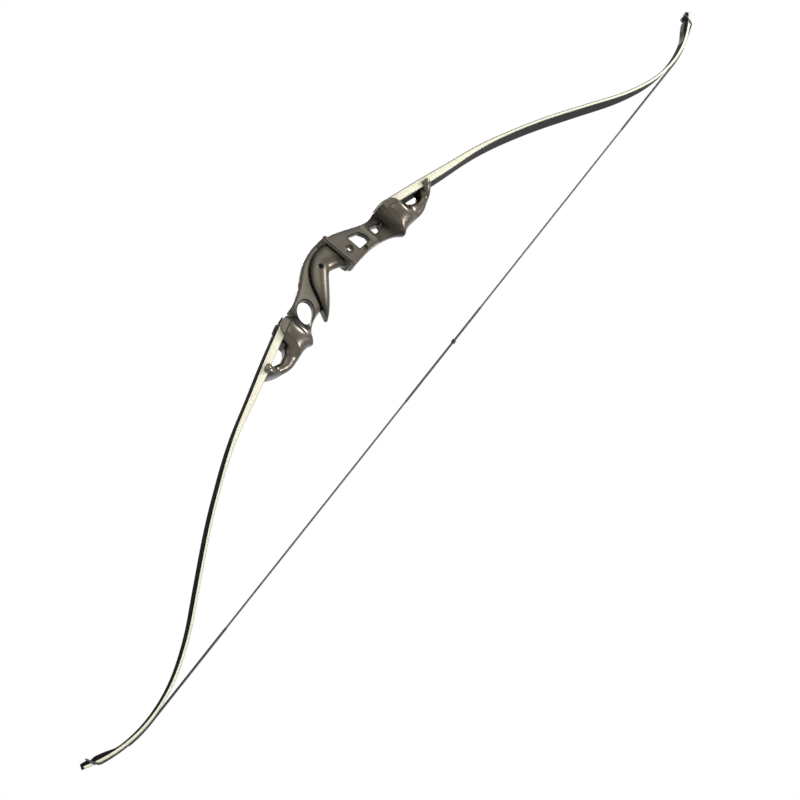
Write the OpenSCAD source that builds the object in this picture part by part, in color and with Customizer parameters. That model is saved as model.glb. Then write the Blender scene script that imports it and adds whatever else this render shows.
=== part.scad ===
// Three-piece takedown recurve bow, strung, in millimetres.
// +Z runs up along the bow, +X points to the archer, and -Y is the side with the sight window.
// The origin is the pivot point of the grip, the deepest point of its throat.

/* [Riser] */
// Height of the mirror plane of the limbs above the pivot point
mid_z = 9; // [4:1:16]
// Distance from the mirror plane to the butt end of each limb
butt_v = 107; // [104:1:110]
// X of the limb seat at the butt end
seat_x = 2.6; // [0:0.2:5]
// Angle of the limb seats from the bow's axis
seat_angle = 16; // [14:0.5:18]
// Half thickness of the handle at its widest
handle_half = 15.5; // [14:0.5:18]
// Half width of the cheeks that carry the limbs
cheek_half = 28.8; // [27:0.2:32]
// Half thickness of the flat plate behind the grip
plate_half = 8; // [7.5:0.5:10]
// Half thickness of the web round the egg-shaped hole
web_half = 6.5; // [5.5:0.5:8]
// Y of the window face, past the bow's centre line
window_y = 4; // [2:0.5:6]
// Thickness of the plate beside the sight window
window_wall = 12; // [10:0.5:16]
// Height of the arrow shelf above the mirror plane
shelf_v = 21; // [19:0.5:24]
// Thickness of the lip round the arrow shelf
lip_h = 4; // [3:0.5:5]
// How far the lip stands past the handle on the window side
lip_out = 4.5; // [3:0.5:6]
// Chord of the arch under each limb
arch_len = 33; // [28:1:36]
// Depth of the arch under each limb
arch_depth = 12; // [8:0.5:14]
// Start of the arch from the butt end
arch_s = 33; // [33:0.5:38]
// Length of the egg-shaped hole in the lower riser
egg_len = 36; // [28:1:38]
// Width of the egg-shaped hole
egg_w = 23; // [16:1:24]
// Thickness of the ears beside the limb
ear_t = 4.2; // [3:0.1:5]
// Height of the butt ears above the seat
butt_ear_h = 10.5; // [7:0.5:11.5]
// Height of the outer ears above the seat
outer_ear_h = 7; // [3:0.5:8]

/* [Grip] */
// Half thickness of the riser's tongue inside the grip
tongue_half = 7; // [6:0.5:9]
// Clearance between the grip and the riser
grip_gap = 0.15; // [0.1:0.05:0.4]
// Radius of the grip screw's shank
grip_screw_r = 2; // [1.5:0.1:2.4]
// Radius of the grip screw's head
grip_head_r = 3.5; // [3:0.1:4]
// Depth of the head below the side of the grip
grip_head_sink = 1.2; // [0.6:0.2:2]

/* [Limbs] */
// Width of the limb at the butt
limb_w = 46; // [40:0.5:48]
// Width of the limb at the tip
tip_w = 13.5; // [11:0.5:17]
// Length of the limb along its belly
limb_len = 665; // [600:5:680]
// Thickness of the limb at the butt
butt_t = 12; // [9:0.5:13]
// Thickness of the working part of the limb
mid_t = 4.2; // [3.4:0.1:6]
// Thickness of each glass lamination
glass_t = 1; // [0.6:0.1:1.2]
// Length of the limb that keeps its full width
full_w_len = 150; // [100:5:200]
// Radius of the corners of the butt end
butt_corner_r = 12; // [3:0.5:14]
// Clearance between the limb and the ears
limb_gap = 0.4; // [0.2:0.05:0.8]
// Thickness of the pad on the outer seat
pad_t = 1; // [0.6:0.1:1.5]
// Length of the tip overlay
overlay_len = 58; // [40:1:75]
// Thickness of the tip overlay
overlay_t = 4.6; // [2:0.2:6]
// Distance of the string nock from the end of the limb
nock_s = 17; // [13:0.5:22]
// Radius of the string groove at the nock
nock_r = 2.2; // [1.6:0.1:2.6]

/* [Limb bolts] */
// Distance of the limb bolt from the butt end
bolt_s = 17; // [15:0.5:19]
// Radius of the limb bolt's shank
bolt_r = 4; // [3:0.1:4.5]
// Running clearance round a bolt, a pin or a sleeve
run_gap = 0.05; // [0.03:0.01:0.08]
// Radius of the limb bolt's head
bolt_head_r = 8.5; // [7:0.5:9.5]
// Height of the limb bolt's head
bolt_head_h = 4; // [3.5:0.5:6]
// Width across flats of the hexagon socket
socket_af = 6; // [4:0.5:8]
// Radius of the cup washer
washer_r = 11; // [10:0.5:12.5]
// Thickness of the cup washer
washer_t = 3; // [2:0.2:4]
// How far the washer is sunk into the back of the limb
washer_sink = 2.6; // [1.6:0.2:3]
// Radius outside of the sleeve in the limb
sleeve_r = 6; // [5.5:0.1:7]
// Length of the threaded insert in the riser
insert_len = 18; // [14:0.5:22]
// Radius outside of the threaded insert
insert_r = 6.5; // [5.8:0.1:7.5]
// Distance of the locating pin from the butt end
pin_s = 77; // [76:0.5:80]
// Radius of the locating pin
pin_r = 3; // [2:0.1:4]
// How far the pin stands into the limb
pin_up = 6; // [4:0.5:7]
// Depth of the pin in the riser
pin_down = 10; // [8:0.5:14]

/* [Bushings] */
// Radius of the plunger bore
plunger_r = 3.97; // [3:0.01:4.5]
// Radius outside of the plunger bushing
plunger_out_r = 5.5; // [5.2:0.1:6.5]
// X of the plunger bushing
plunger_x = 0; // [-2:0.5:2]
// Height of the plunger bushing above the shelf
plunger_up = 19.5; // [17:0.5:21]
// Radius of the sight bore
sight_r = 2.4; // [1.5:0.1:2.6]
// Radius outside of the sight bushing
sight_out_r = 3.4; // [3.2:0.1:4]
// X of the sight bushing
sight_x = 16.2; // [15:0.2:17]
// Height of the sight bushing above the shelf
sight_up = 36.5; // [34:0.5:39]
// Radius of the stabiliser bore
stab_r = 3.97; // [3:0.01:4.5]
// Radius outside of the stabiliser bushing
stab_out_r = 6; // [5.5:0.1:6.5]
// Length of the stabiliser bushing
stab_len = 14; // [10:0.5:16]
// Distance of the stabiliser bushing below the mirror plane
stab_v = 58; // [54:0.5:60]
// X of the stabiliser bushing's face
stab_x = -16.5; // [-18:0.5:-15]

/* [String] */
// Diameter of the bundle of strands
string_d = 2.8; // [2:0.1:4]
// Diameter of a served loop
loop_d = 2.4; // [1.8:0.1:3]
// Thickness of a serving on the string
serving_t = 0.35; // [0.2:0.05:0.8]
// Length of each end serving below the limb
end_serving_len = 150; // [80:5:200]
// Length of the centre serving
centre_serving_len = 185; // [120:5:240]
// Height of the nock point above the arrow shelf
nock_up = 9; // [5:0.5:14]
// Clearance between the string and the limb
string_gap = 0.15; // [0.1:0.05:0.4]

/* [Hidden] */
$fn = 48;

metal = "#6b665c";
black = "#17181a";
cream = "#efe8c8";
steel = "#b9bcc0";
brass = "#b8964a";
rubber = "#2a2a2b";
strand = "#3a3c40";

// Long enough to cut through anything on the riser
far = 200;
// A hair's width that keeps a cut clear of the face it opens
eps = 0.01;

// Points on a Catmull-Rom curve through rows of numbers
function between(p, q, r, s, t) =
    0.5 * (2 * q + (r - p) * t + (2 * p - 5 * q + 4 * r - s) * t * t + (3 * q - p - 3 * r + s) * t * t * t);
function smooth_rows(rows, steps) = [
    for (i = [0:len(rows) - 2], k = [0:steps - 1])
        between(rows[max(i - 1, 0)], rows[i], rows[i + 1], rows[min(i + 2, len(rows) - 1)], k / steps),
    rows[len(rows) - 1],
];
function unit(v) = v / norm(v);
// A polygon with each corner replaced by an arc of the given radius
function rounded(pts, r, n = 5) = [
    for (i = [0:len(pts) - 1])
        let (
            p = pts[i],
            a = unit(pts[(i + len(pts) - 1) % len(pts)] - p),
            b = unit(pts[(i + 1) % len(pts)] - p),
            half = acos(a * b) / 2,
            centre = p + unit(a + b) * r / sin(half),
            start = p + a * r / tan(half) - centre,
            side = -sign(a.x * b.y - a.y * b.x)
        )
        for (k = [0:n])
            let (t = side * (180 - 2 * half) * k / n)
            centre + [start.x * cos(t) - start.y * sin(t), start.x * sin(t) + start.y * cos(t)],
];
// A closed outline moved out along its normals, for a clearance round it
function grown(pts, d) = [
    for (i = [0:len(pts) - 1])
        let (
            a = unit(pts[i] - pts[(i + len(pts) - 1) % len(pts)]),
            b = unit(pts[(i + 1) % len(pts)] - pts[i]),
            m = unit([a.y + b.y, -a.x - b.x])
        )
        pts[i] + m * d / max(0.5, m * [a.y, -a.x]),
];
// A solid skinned over rings of points; closed joins the last ring to the first
module skin(rings, closed = false) {
    n = len(rings[0]);
    m = len(rings);
    polyhedron(
        points = [for (r = rings) for (p = r) p],
        faces = concat(
            closed ? [] : [[for (i = [0:n - 1]) i], [for (i = [n - 1:-1:0]) (m - 1) * n + i]],
            [
                for (j = [0:closed ? m - 1 : m - 2], i = [0:n - 1])
                    let (up = ((j + 1) % m) * n, here = j * n, k = (i + 1) % n)
                    each [[here + i, up + i, up + k], [here + i, up + k, here + k]],
            ]
        )
    );
}
// A tube along a list of points, with rings square to the path
module tube(path, r, sides, up, closed = false) {
    m = len(path);
    skin([
        for (i = [0:m - 1])
            let (
                a = closed ? path[(i + m - 1) % m] : path[max(i - 1, 0)],
                b = closed ? path[(i + 1) % m] : path[min(i + 1, m - 1)],
                t = unit(b - a),
                n1 = unit(up - t * (up * t)),
                n2 = cross(t, n1)
            )
            [for (k = [0:sides - 1]) path[i] + r * (cos(360 * k / sides) * n1 + sin(360 * k / sides) * n2)],
    ], closed);
}
// An outline in X and Z, thick in Y about the bow's centre plane
module side_plate(pts, thick, y = 0) {
    translate([0, y, 0]) rotate([90, 0, 0]) linear_extrude(thick, center = true) polygon(pts);
}
module rod_x(r, x0, x1) {
    translate([x0, 0, 0]) rotate([0, 90, 0]) cylinder(r = r, h = x1 - x0);
}
module rod_y(r, y0, y1) {
    translate([0, y0, 0]) rotate([-90, 0, 0]) cylinder(r = r, h = y1 - y0);
}
// The frame of a limb seat: Z along the limb from its butt end, X to the belly; k = 1 is the lower limb
module at_seat(k) {
    translate([0, 0, mid_z]) mirror([0, 0, k]) translate([seat_x, 0, butt_v]) rotate([0, seat_angle, 0])
        children();
}

// The riser is skinned over rounded sections: height, back, belly, near Y, far Y, squareness
riser_sides = 24;
function section(row) =
    let (c = (row[1] + row[2]) / 2, rx = (row[2] - row[1]) / 2, m = (row[3] + row[4]) / 2, ry = (row[4] - row[3]) / 2)
    [
        for (i = [0:riser_sides - 1])
            let (a = 360 * (i + 0.5) / riser_sides, e = 2 / row[5])
            [
                c + rx * sign(cos(a)) * pow(abs(cos(a)), e),
                m + ry * sign(sin(a)) * pow(abs(sin(a)), e),
                row[0],
            ],
    ];
// Rows that both ends of the riser share, from the limb's butt outwards; the seat cuts their back away
cheek_rows = [
    for (r = [
        [1, -26, 47.4, 0.8, 2.2],
        [4, -32, 46.8, 0.94, 2.2],
        [9, -34, 44.4, 1.03, 2.3],
        [18, -32, 43.6, 1.05, 2.4],
        [24, -30, 44.2, 1.0, 2.4],
        [30, -20, 44.9, 0.78, 2.2],
        [36, 6, 45.6, 0.5, 2],
        [45, 21, 46.4, 0.4, 2],
        [54, 26.5, 45, 0.4, 2],
        [62, 22, 42.2, 0.44, 2],
        [66, 4, 40.8, 0.56, 2.4],
        [70, -24, 39, 0.86, 3],
        [75, -24, 35.8, 1.02, 3.2],
        [80, -14, 32.2, 1.01, 3.2],
        [83.4, -2, 29.6, 0.93, 3],
    ])
        [butt_v + r[0], r[1], r[2], -cheek_half * r[3], cheek_half * r[3], r[4]],
];
far_y = window_y + window_wall;
lip_y = -handle_half - lip_out;
shelf_front = 22.4;
shelf_back = -38.4;
groove_h = 1.8;
rib_h = 2.4;
flare_v = shelf_v - lip_h - groove_h - rib_h;
// Rows from the lower cheek up to the rib under the arrow shelf
lower_rows = concat(
    [for (i = [len(cheek_rows) - 1:-1:0]) let (r = cheek_rows[i]) [-r[0], r[1], r[2], r[3], r[4], r[5]]],
    [
        [-104, -9.4, 43.4, -cheek_half * 0.7, cheek_half * 0.7, 2.5],
        [-98, -8.6, 36.4, -cheek_half * 0.46, cheek_half * 0.46, 2.8],
        [-90, -8.6, 30.6, -web_half - 1.6, web_half + 1.6, 4],
        [-80, -10, 27, -web_half, web_half, 6],
        [-66, -15, 25.4, -plate_half + 0.4, plate_half - 0.4, 6],
        [-54, -21, 26, -plate_half, plate_half, 6],
        [-40, -29.2, 24, -plate_half, plate_half, 6],
        [-23, -36.8, 14, -plate_half, plate_half, 6],
        [-4, -39.6, 9, -plate_half, plate_half, 6],
        [4, -39.6, 8, -plate_half - 1.5, plate_half + 1.5, 5],
        [9, -39.2, 11, -handle_half + 2, handle_half - 2, 5],
        [flare_v, shelf_back - 0.4, shelf_front - 8, -handle_half, handle_half, 6],
    ]
);
// The rib, the groove and the lip of the shelf, as steps in width, then the upright foot of the window's plate
foot_h = 3;
lip_rows = [
    [flare_v, shelf_back, shelf_front - 6, lip_y + 1.6, handle_half + 1.6, 9],
    [flare_v + rib_h, shelf_back, shelf_front - 5, lip_y + 1.6, handle_half + 1.6, 9],
    [flare_v + rib_h, shelf_back + 0.4, shelf_front - 6, -handle_half - 0.6, handle_half + 0.4, 9],
    [shelf_v - lip_h, shelf_back + 0.4, shelf_front - 5, -handle_half - 0.6, handle_half + 0.4, 9],
    [shelf_v - lip_h, shelf_back, shelf_front - 2, lip_y, handle_half + 2.5, 10],
    [shelf_v, shelf_back, shelf_front, lip_y, handle_half + 2.5, 10],
    [shelf_v, shelf_back + 1, shelf_front - 0.9, window_y, far_y, 8],
];
// Rows from the arrow shelf up past the sight window
upper_rows = concat([
    [shelf_v + foot_h, shelf_back + 1, shelf_front - 0.9, window_y, far_y, 8],
    [31.7, -34.7, 21.3, window_y, far_y, 8],
    [41.3, -31, 21.8, window_y, far_y, 8],
    [56.6, -23, 22.6, window_y, far_y, 8],
    [68, -16.5, 24.4, window_y, far_y, 8],
    [78, -11, 27, window_y - 0.5, far_y + 0.3, 7],
    [86, -7.5, 29.8, window_y - 4, far_y + 1.5, 5],
    [93, -6.4, 33.6, window_y - 9, far_y + 1.6, 3.4],
    [99, -7.4, 38, -cheek_half * 0.48, far_y + 1.6, 2.8],
    [104, -9.4, 43.4, -cheek_half * 0.68, cheek_half * 0.64, 2.4],
], cheek_rows);

// The grip in side view: its seam with the riser, then its notch and the beak
seam_pts = [
    [-27, flare_v], [-31, 4], [-31.4, -6], [-28.6, -18], [-22.6, -30], [-13, -40], [-2, -47.5], [11, -53.8], [24.4, -61],
];
grip_zone = concat(
    smooth_rows(seam_pts, 3),
    [[26.6, -61.4], [34.6, -66.6], [38.4, -69.4], [60, -69.4], [60, flare_v]]
);
// The tongue of the riser, which the grip straddles
tongue_pts = rounded([
    [-34, 16], [-3, 16], [-8.5, -2], [-8.5, -15], [3, -34], [14, -48], [19, -58], [6, -56], [-16, -42], [-34, -20],
], 2, 3);
// Rows of the grip: height, hidden edge, belly, near Y, far Y, squareness
grip_rows = [
    [flare_v, -44, 13, -handle_half - 0.2, handle_half + 0.2, 2.8],
    [8, -44, 7.4, -handle_half - 0.1, handle_half + 0.1, 2.6],
    [3, -44, 4.4, -handle_half, handle_half, 2.4],
    [-4, -44, 1, -handle_half, handle_half, 2.3],
    [-9, -42, 0, -handle_half, handle_half, 2.3],
    [-15, -40, 2.8, -handle_half, handle_half, 2.3],
    [-24, -36, 10.4, -handle_half, handle_half, 2.3],
    [-34, -30, 19, -handle_half + 0.2, handle_half - 0.2, 2.3],
    [-45, -20, 27.8, -handle_half + 1, handle_half - 1, 2.4],
    [-55, -6, 35, -handle_half + 2.4, handle_half - 2.4, 2.4],
    [-62, 8, 39.2, -handle_half + 4.6, handle_half - 4.6, 2.4],
    [-67, 20, 41.6, -handle_half + 7, handle_half - 7, 2.4],
    [-70, 28, 42, -handle_half + 9, handle_half - 9, 2.4],
];
grip_screw_at = [-14, -17];
grip_steps = 2;

// Openings beside the window, as corners in X and height
big_cut = rounded([[-13.5, 50.6], [-5.2, 67], [6, 71.4], [13, 70], [11, 50.6]], 1.6);
small_cut = rounded([[0.8, 82.3], [9.6, 96.6], [15.4, 95], [14.4, 82.3]], 1.6);
egg_centre = [11, -81.5];
egg_tilt = 35.6;
egg_pts = [
    for (a = [0:10:359])
        let (p = [egg_w / 2 * sin(a) * (1 + 0.1 * cos(a)), egg_len / 2 * cos(a)])
        egg_centre + [p.x * cos(egg_tilt) - p.y * sin(egg_tilt), p.x * sin(egg_tilt) + p.y * cos(egg_tilt)],
];

// Direction of the belly along the limb, from the seat: arcs between these angles
bend = [
    [0, 0], [90, 0], [150, -3], [230, 6.4], [330, 12.4],
    [limb_len - 245, 13.2], [limb_len - 175, 3.6], [limb_len - 105, -14.8], [limb_len, -49.6],
];
function dir(s) = lookup(s, bend);
limb_step = 9.5;
limb_n = ceil(limb_len / limb_step);
ds = limb_len / limb_n;
// Points of the belly, as X and Z from the seat, at equal steps
belly_line = [
    for (i = 0, p = [0, 0]; i <= limb_n; p = p + ds * [sin(dir((i + 0.5) * ds)), cos(dir((i + 0.5) * ds))], i = i + 1)
        p,
];
function belly(s) =
    let (i = min(floor(s / ds), limb_n - 1), f = s / ds - i)
    belly_line[i] * (1 - f) + belly_line[i + 1] * f;
// The point at a height above the belly, towards the back
function off(s, h) = belly(s) + h * [-cos(dir(s)), sin(dir(s))];
// Thickness and width of the limb along its belly
fade_s = 50;
fade_e = 265;
tip_extra_t = 0.6;
function ease(t) = (1 - cos(180 * min(max(t, 0), 1))) / 2;
function limb_t(s) =
    butt_t + (mid_t - butt_t) * ease((s - fade_s) / (fade_e - fade_s)) + tip_extra_t * max(0, s - fade_e) / (limb_len - fade_e);
tip_corner_r = 5.5;
function limb_half(s) =
    let (
        w = limb_w - (limb_w - tip_w) * pow(max(0, s - full_w_len) / (limb_len - full_w_len), 2),
        a = max(0, butt_corner_r - s),
        b = max(0, tip_corner_r - (limb_len - s))
    )
    w / 2 - (butt_corner_r - sqrt(max(0, butt_corner_r * butt_corner_r - a * a)))
    - (tip_corner_r - sqrt(max(0, tip_corner_r * tip_corner_r - b * b)));
// Steps along the limb, closer where the corners of the ends are round
limb_steps = concat(
    [0, 0.6, 1.8, 3.6],
    [for (i = [1:limb_n - 1]) if (i * ds > 4 && i * ds < limb_len - tip_corner_r) i * ds],
    [for (d = [tip_corner_r, 3.4, 1.8, 0.7, 0]) limb_len - d]
);
plan_pts = concat(
    [for (s = limb_steps) [limb_half(s), belly(s).y]],
    [for (i = [len(limb_steps) - 1:-1:0]) [-limb_half(limb_steps[i]), belly(limb_steps[i]).y]]
);
// The tip overlay rises towards the nock and falls away at the end
function overlay_h(s) =
    let (u = (s - limb_len + overlay_len) / overlay_len)
    overlay_t * pow(sin(180 * pow(min(max(u, 0), 1), 1.25) * 0.86), 0.8);

// Where the belly runs straight up, the string leaves it
contact_s = lookup(-seat_angle, [for (i = [5:len(bend) - 1]) [bend[i][1], bend[i][0]]]);
function world(p) = [
    seat_x + p.x * cos(seat_angle) + p.y * sin(seat_angle),
    butt_v - p.x * sin(seat_angle) + p.y * cos(seat_angle),
];
contact = world(off(contact_s, 0));
string_r = string_d / 2;
string_x = contact.x + string_gap + string_r + serving_t;

// The ears are lobes that stay above the seat on both sides of the limb
butt_lobe_r = 12;
outer_lobe_r = 9;
outer_lobe_s = pin_s + 2;
butt_lobe_s = 14;
wall_top = 9.4;
module lobes() {
    translate([butt_lobe_r - butt_ear_h, 0, butt_lobe_s]) rod_y(butt_lobe_r, -far, far);
    side_plate([[6, -14], [-6.6, -14], [-wall_top, -limb_gap], [-butt_ear_h + 0.2, butt_lobe_s - 4], [6, butt_lobe_s]], far);
    translate([outer_lobe_r - outer_ear_h, 0, outer_lobe_s]) rod_y(outer_lobe_r, -far, far);
}
pad_s0 = max(arch_s + arch_len + 1, pin_s - 3.4);
pad_s1 = pin_s + 5.4;
// Everything cut away at a limb seat: what lies behind it, the limb's room, the arch and the bores
module seat_cuts(k) {
    seat_end = 120;
    inner = limb_w / 2 + limb_gap;
    outer = inner + ear_t;
    at_seat(k) {
        difference() {
            side_plate([
                [-60, -30], [-6.6, -14], [-wall_top, -limb_gap], [0, -limb_gap], [0, seat_end], [-60, seat_end],
            ], far);
            lobes();
        }
        translate([-60, 0, 0]) rotate([90, 0, 90]) linear_extrude(60) polygon(rounded(
            [[-inner, -limb_gap], [inner, -limb_gap], [inner, seat_end], [-inner, seat_end]], butt_corner_r
        ));
        for (side = [-1, 1])
            translate([-60, side * (outer + 20) - 20, 0]) cube([60, 40, seat_end]);
        side_plate(rounded([
            [-4, arch_s], [arch_depth - 4, arch_s + 3], [arch_depth, arch_s + 14],
            [arch_depth, arch_s + arch_len - 5], [-4, arch_s + arch_len],
        ], 4), far);
        translate([-1, -limb_w / 2 + 2, pad_s0]) cube([1 + pad_t, limb_w - 4, pad_s1 - pad_s0]);
        translate([0, 0, bolt_s]) rod_x(insert_r, -1, insert_len);
        translate([0, 0, pin_s]) rod_x(pin_r, -1, pin_down);
    }
}
// The room for the grip, with the riser's tongue left standing in it
module grip_room() {
    difference() {
        side_plate(grip_zone, far);
        side_plate(tongue_pts, 2 * tongue_half);
    }
}
module riser() {
    color(metal)
    difference() {
        translate([0, 0, mid_z])
            skin(concat(
                [for (r = smooth_rows(lower_rows, 2)) section(r)],
                [for (r = lip_rows) section(r)],
                [for (r = smooth_rows(upper_rows, 2)) section(r)]
            ));
        for (k = [0, 1]) seat_cuts(k);
        translate([0, 0, mid_z]) {
            grip_room();
            for (cut = [big_cut, small_cut, egg_pts]) side_plate(cut, far);
            translate([plunger_x, 0, shelf_v + plunger_up]) rod_y(plunger_out_r, -far, far);
            translate([sight_x, 0, shelf_v + sight_up]) rod_y(sight_out_r, -far, far);
            translate([0, 0, -stab_v]) {
                rod_x(stab_out_r, stab_x - 1, stab_x + stab_len);
                rod_x(stab_out_r + 0.3, stab_x - 30, stab_x);
            }
            translate([grip_screw_at.x, 0, grip_screw_at.y]) rod_y(grip_screw_r + run_gap, -far, far);
        }
    }
}
module grip() {
    nut_y = handle_half - grip_head_sink - grip_nut_t;
    color(metal)
    translate([0, 0, mid_z])
    difference() {
        intersection() {
            skin([for (r = smooth_rows([for (i = [len(grip_rows) - 1:-1:0]) grip_rows[i]], grip_steps)) section(r)]);
            side_plate(grown(grip_zone, -grip_gap), far);
        }
        side_plate(grown([for (i = [len(tongue_pts) - 1:-1:0]) tongue_pts[i]], grip_gap), 2 * (tongue_half + grip_gap));
        translate([grip_screw_at.x, 0, grip_screw_at.y]) {
            rod_y(grip_screw_r + run_gap, -far, far);
            rod_y(grip_head_r + run_gap, -far, -grip_head_y);
            rod_y(grip_head_r + run_gap, nut_y, far);
        }
    }
}
grip_nut_t = 3.2;
grip_head_t = 2.6;
grip_head_y = handle_half - grip_head_sink - grip_head_t;
module grip_screw() {
    nut_y = handle_half - grip_head_sink - grip_nut_t;
    color(steel)
    translate([grip_screw_at.x, 0, mid_z + grip_screw_at.y])
    difference() {
        union() {
            rod_y(grip_screw_r, -grip_head_y - eps, nut_y + grip_nut_t - 0.6);
            rod_y(grip_head_r, -grip_head_y - grip_head_t, -grip_head_y);
        }
        translate([0, -grip_head_y - grip_head_t - 1, 0]) rotate([-90, 0, 0]) cylinder(d = 3 / cos(30), h = 2.6, $fn = 6);
    }
}
module grip_nut() {
    nut_y = handle_half - grip_head_sink - grip_nut_t;
    color(steel)
    translate([grip_screw_at.x, 0, mid_z + grip_screw_at.y])
    difference() {
        rod_y(grip_head_r, nut_y, nut_y + grip_nut_t);
        rod_y(grip_screw_r + run_gap, -far, far);
    }
}
module plunger_bushing() {
    color(brass)
    translate([plunger_x, 0, mid_z + shelf_v + plunger_up])
    difference() {
        rod_y(plunger_out_r, window_y, far_y);
        rod_y(plunger_r, -far, far);
    }
}
module sight_bushing() {
    color(brass)
    translate([sight_x, 0, mid_z + shelf_v + sight_up])
    difference() {
        rod_y(sight_out_r, window_y, far_y);
        rod_y(sight_r, -far, far);
    }
}
module stabiliser_bushing() {
    color(steel)
    translate([0, 0, mid_z - stab_v])
    difference() {
        rod_x(stab_out_r, stab_x, stab_x + stab_len);
        rod_x(stab_r, stab_x - 1, stab_x + stab_len - 1.5);
    }
}

// A lamination between two heights above the belly, cut to the limb's plan
module lamination(k, bottom, top) {
    n = len(limb_steps);
    at_seat(k)
    difference() {
        intersection() {
            side_plate(concat(
                [for (i = [0:n - 1]) bottom[i]],
                [for (i = [n - 1:-1:0]) top[i]]
            ), limb_w + 10);
            rotate([90, 0, 90]) linear_extrude(far, center = true) polygon(plan_pts);
        }
        nock_grooves();
        limb_holes();
    }
}
belly_face = [for (s = limb_steps) off(s, 0)];
core_belly = [for (s = limb_steps) off(s, glass_t)];
core_back = [for (s = limb_steps) off(s, limb_t(s) - glass_t)];
back_face = [for (s = limb_steps) off(s, limb_t(s))];
nock_at = limb_len - nock_s;
nock_half = limb_half(nock_at);
nock_slope = 42;
// Grooves at both edges of the tip, slanted from the back down to the belly
module nock_grooves() {
    p = off(nock_at, limb_t(nock_at) / 2);
    for (side = [-1, 1])
        translate([p.x, side * (nock_half + nock_r * 0.35), p.y]) rotate([0, dir(nock_at) + 90 - nock_slope, 0])
            translate([-14, 0, 0]) rod_x(nock_r, 0, 28);
}
module limb_holes() {
    translate([0, 0, bolt_s]) {
        rod_x(sleeve_r, -butt_t - 1, 1);
        rod_x(washer_r + washer_gap, -butt_t - 1, washer_base);
    }
    translate([0, 0, pin_s]) rod_x(pin_r + run_gap, -pin_up - 0.5, 1);
}
module tip_overlay(k) {
    steps = [for (s = limb_steps) if (s >= limb_len - overlay_len) s];
    n = len(steps);
    color(black)
    at_seat(k)
    difference() {
        intersection() {
            side_plate(concat(
                [off(limb_len - overlay_len, limb_t(limb_len - overlay_len))],
                [for (s = steps) off(s, limb_t(s))],
                [for (i = [n - 1:-1:0]) off(steps[i], limb_t(steps[i]) + max(0.05, overlay_h(steps[i])))]
            ), limb_w);
            rotate([90, 0, 90]) linear_extrude(far, center = true) polygon(plan_pts);
        }
        nock_grooves();
    }
}
module limb_sleeve(k) {
    color(brass)
    at_seat(k) translate([0, 0, bolt_s])
    difference() {
        rod_x(sleeve_r, washer_base, 0);
        rod_x(bolt_r + run_gap, -far, far);
    }
}
module riser_insert(k) {
    color(brass)
    at_seat(k) translate([0, 0, bolt_s])
    difference() {
        rod_x(insert_r, 0, insert_len);
        rod_x(bolt_r + run_gap, -1, insert_len - 1.5);
    }
}
module locating_pin(k) {
    color(steel)
    at_seat(k) translate([0, 0, pin_s]) {
        rod_x(pin_r, -pin_up + 1, pin_down);
        translate([-pin_up + 1, 0, 0]) rotate([0, -90, 0]) cylinder(r1 = pin_r, r2 = pin_r - 1, h = 1);
    }
}
module limb_pad(k) {
    color(rubber)
    at_seat(k)
    difference() {
        translate([0, -limb_w / 2 + 2, pad_s0]) cube([pad_t, limb_w - 4, pad_s1 - pad_s0]);
        translate([0, 0, pin_s]) rod_x(pin_r, -far, far);
    }
}
module cup_washer(k) {
    color(steel)
    at_seat(k) translate([washer_base, 0, bolt_s])
    difference() {
        union() {
            rod_x(washer_r, -washer_t + 1, 0);
            translate([-washer_t + 1, 0, 0]) rotate([0, -90, 0]) cylinder(r1 = washer_r, r2 = washer_r - 1, h = 1);
        }
        rod_x(bolt_r + run_gap, -far, far);
        rod_x(bolt_head_r + run_gap, -far, -washer_t + cup_depth);
    }
}
cup_depth = 1.5;
washer_gap = 0.1;
washer_base = -butt_t + washer_sink;
head_base = washer_base - washer_t + cup_depth;
bolt_len = insert_len - 4 - head_base;
module limb_bolt(k) {
    color(steel)
    at_seat(k) translate([head_base, 0, bolt_s])
    difference() {
        union() {
            rod_x(bolt_r, -eps, bolt_len - 1);
            translate([bolt_len - 1, 0, 0]) rotate([0, 90, 0]) cylinder(r1 = bolt_r, r2 = bolt_r - 0.8, h = 1);
            rod_x(bolt_head_r, -bolt_head_h + 1.2, 0);
            translate([-bolt_head_h + 1.2, 0, 0]) rotate([0, -90, 0])
                cylinder(r1 = bolt_head_r, r2 = bolt_head_r - 1.6, h = 1.2);
        }
        translate([-bolt_head_h - 1, 0, 0]) rotate([0, 90, 0])
            cylinder(d = socket_af / cos(30), h = bolt_head_h, $fn = 6);
    }
}

// The string lies on the belly from the nock to the contact point
loop_r = loop_d / 2;
lie = string_gap + string_r + serving_t;
loop_lie = string_gap + loop_r;
join_s = nock_at - 46;
// Half of the loop in limb terms: distance along, across, and height above the belly.
// It runs over the back above the nock, down the grooves and together on the belly.
over_s = nock_at + 8.4;
over_h = limb_t(over_s) + overlay_h(over_s);
loop_half = [
    [over_s, 0, over_h + loop_lie + 0.3],
    [over_s, nock_half * 0.7, over_h + loop_lie + 0.2],
    [over_s - 0.8, nock_half + 0.2, over_h + 0.9],
    [over_s - 3, nock_half + 0.25, over_h - 2],
    [nock_at + 1.4, nock_half + 0.25, 3.6],
    [nock_at - 2.2, nock_half + 0.5, 0.4],
    [nock_at - 6, nock_half + 0.8, -loop_r - 0.5],
    [nock_at - 13, nock_half * 0.8, -loop_lie - 0.4],
    [nock_at - 26, nock_half * 0.42, -loop_lie - 0.2],
    [nock_at - 38, loop_r + 0.5, -loop_lie - 0.1],
    [nock_at - 43, loop_r + 0.1, -loop_lie - 0.1],
];
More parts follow.
